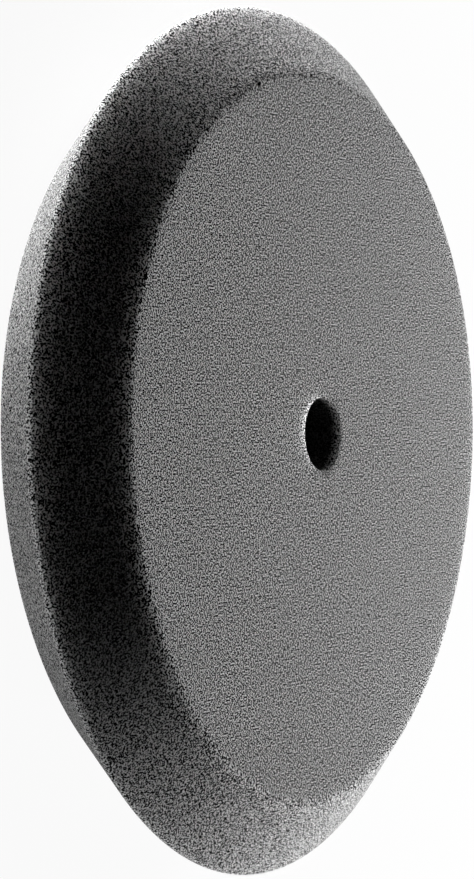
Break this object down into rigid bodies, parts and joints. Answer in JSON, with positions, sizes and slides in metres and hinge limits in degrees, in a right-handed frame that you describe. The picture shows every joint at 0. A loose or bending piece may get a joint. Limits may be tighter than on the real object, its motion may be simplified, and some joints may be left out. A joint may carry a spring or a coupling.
{
  "type": "polishing pad",
  "caption": "Round grey foam polishing pad with a flat working face, a bevelled edge, a centre hole and a hook-and-loop back.",
  "frame": {"origin": "centre of the loop face, on the surface that the pad lies on", "axes": "+Z along the spin axis, from the loop face towards the working face; the pad is round, so X and Y are alike"},
  "size_m": [0.203, 0.203, 0.033],
  "materials": {
    "open_cell_foam": "matte mid-grey open-cell polyurethane foam",
    "hot_melt_film": "milky hot-melt adhesive film",
    "loop_cloth": "dark warp-knit loop cloth with a brushed pile"
  },
  "bodies": {
    "root": {"foam_pad": "open_cell_foam", "bond_film": "hot_melt_film", "loop_backing": "loop_cloth"}
  },
  "joints": []
}
